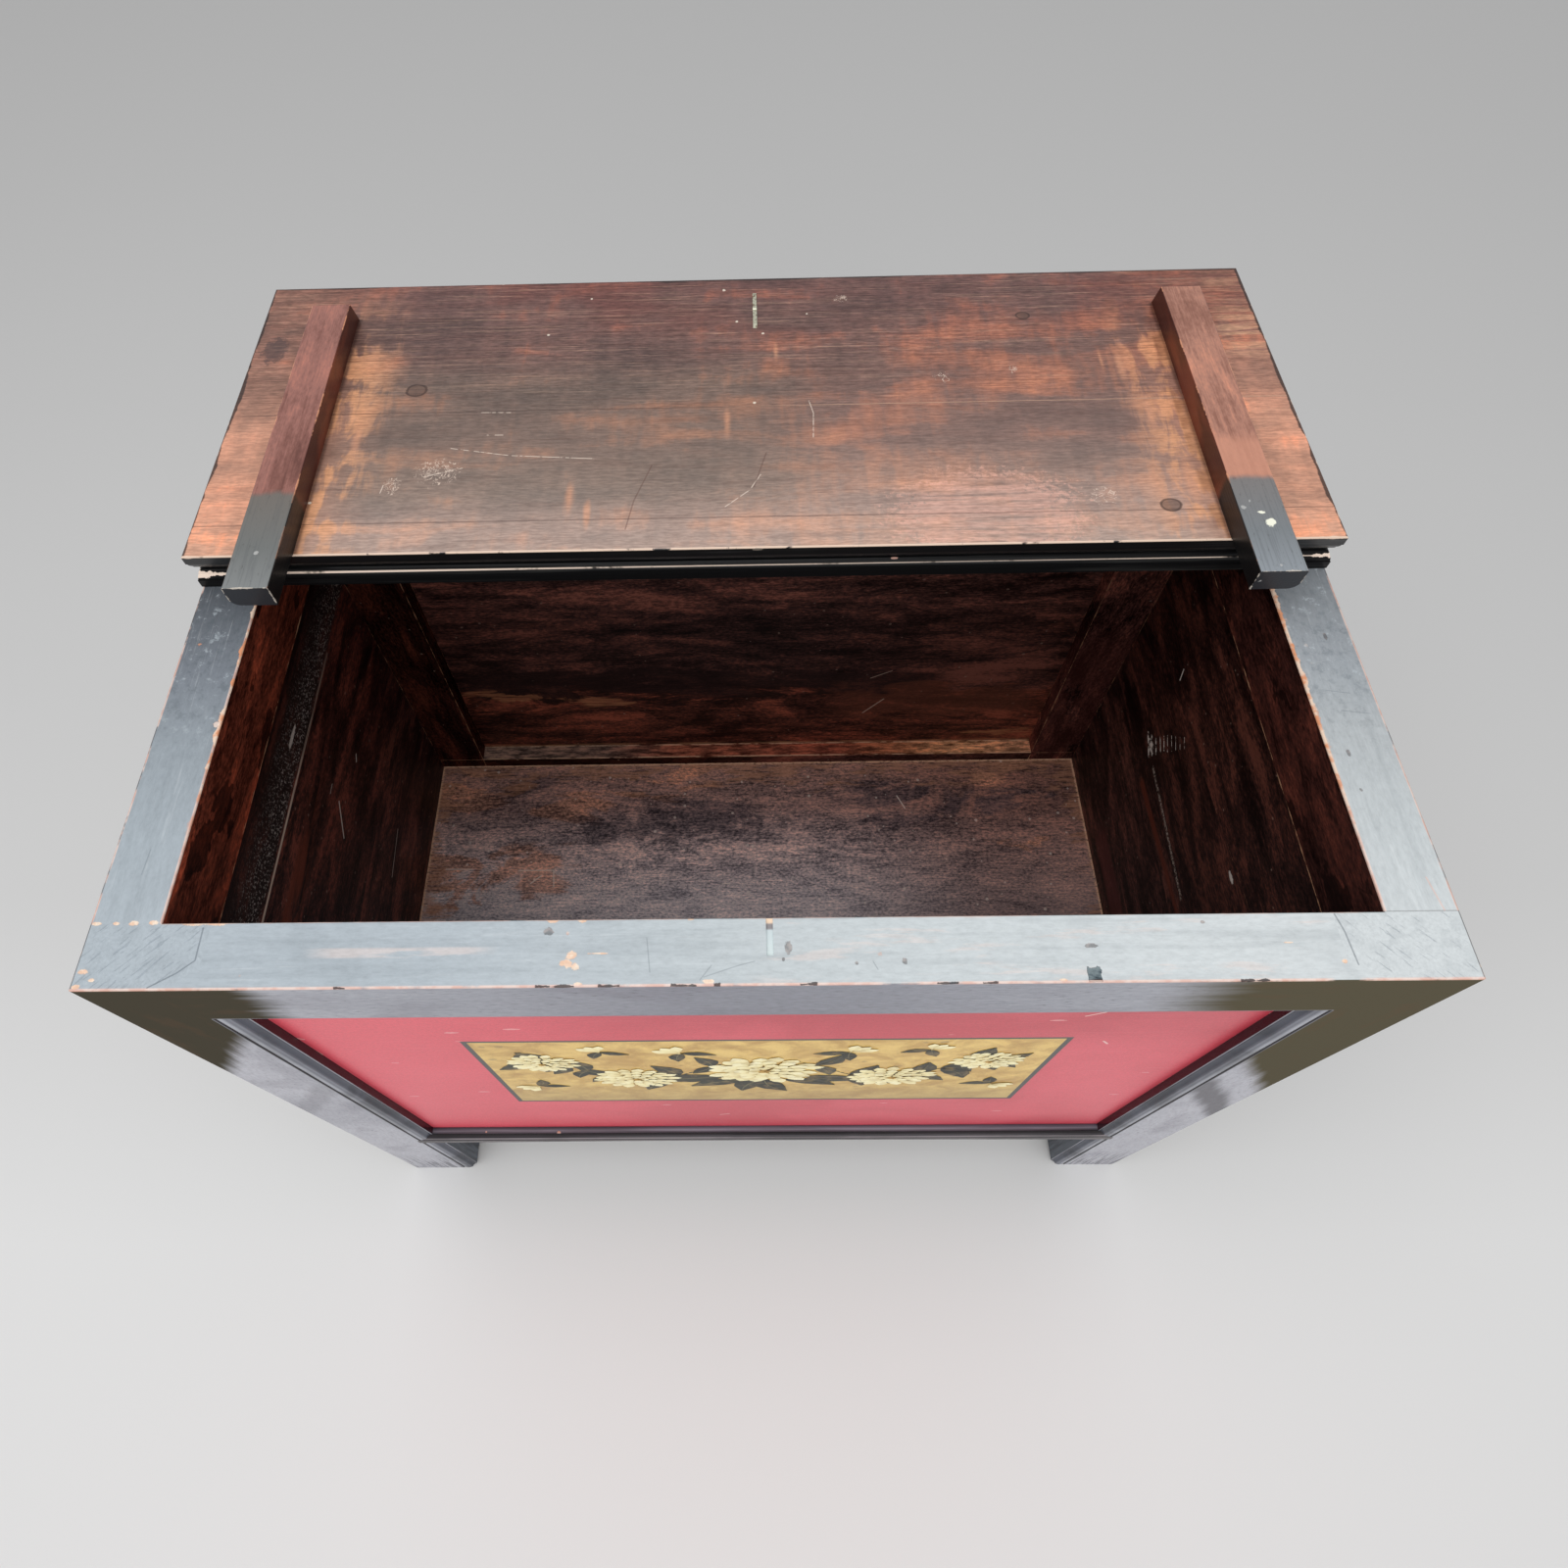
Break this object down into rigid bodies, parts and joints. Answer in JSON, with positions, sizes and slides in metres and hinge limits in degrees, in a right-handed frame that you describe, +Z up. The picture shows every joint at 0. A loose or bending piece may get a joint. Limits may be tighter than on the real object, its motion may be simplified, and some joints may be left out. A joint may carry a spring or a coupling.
{
  "type": "storage trunk",
  "caption": "Painted storage trunk on four legs: frame-and-panel box, fixed rear top and a loose battened front lid laid turned over on it.",
  "frame": {"origin": "bottom centre of the box around the whole part at rest, with the lid turned over on the fixed top: on the floor, midway between the two sides and midway between the front face and the far edge of the lid", "axes": "+X to the right of someone facing the painted front, +Y from the front to the back, +Z up"},
  "size_m": [1, 0.7142, 0.999],
  "materials": {
    "black_lacquered_wood": "worn black lacquer, satin",
    "red_painted_panel": "raspberry red paint with a gold painted picture field, satin",
    "stained_wood": "dark red-brown stain",
    "lid_wood": "brown stained pine inside, black lacquer outside",
    "batten_wood": "red-brown stain, tails painted black",
    "peg_wood": "end grain, lacquered over",
    "forged_iron": "old split pin, ring and nails, dull"
  },
  "bodies": {
    "chest": {"front_left_post": "black_lacquered_wood", "front_right_post": "black_lacquered_wood", "back_left_post": "black_lacquered_wood", "back_right_post": "black_lacquered_wood", "front_top_rail": "black_lacquered_wood", "back_top_rail": "black_lacquered_wood", "left_top_rail": "black_lacquered_wood", "right_top_rail": "black_lacquered_wood", "front_bottom_rail": "black_lacquered_wood", "back_bottom_rail": "black_lacquered_wood", "left_bottom_rail": "black_lacquered_wood", "right_bottom_rail": "black_lacquered_wood", "front_panel": "red_painted_panel", "back_panel": "stained_wood", "left_side_lower_board": "stained_wood", "left_side_middle_board": "stained_wood", "left_side_upper_board": "stained_wood", "right_side_lower_board": "stained_wood", "right_side_middle_board": "stained_wood", "right_side_upper_board": "stained_wood", "floor_board_1": "stained_wood", "floor_board_2": "stained_wood", "floor_board_3": "stained_wood", "left_floor_bearer": "stained_wood", "right_floor_bearer": "stained_wood", "fixed_top": "black_lacquered_wood", "fixed_top_pegs": "peg_wood"},
    "lid": {"lid_front_board": "lid_wood", "lid_middle_board": "lid_wood", "lid_rear_strip": "lid_wood", "left_lid_batten": "batten_wood", "right_lid_batten": "batten_wood", "lid_batten_nails": "forged_iron", "lid_split_pin": "forged_iron"},
    "ring_pull": {"lid_ring_pull": "forged_iron"}
  },
  "joints": [
    {"name": "lid_turn", "type": "hinge", "parent": "chest", "child": "lid", "pos_m": [0, 0, 0.952], "axis": [1, 0, 0], "range_deg": [0, 180]},
    {"name": "ring_swing", "type": "hinge", "parent": "lid", "child": "ring_pull", "pos_m": [0.0025, 0.30655, 0.94517], "axis": [1, 0, 0], "range_deg": [-95, 95]}
  ]
}
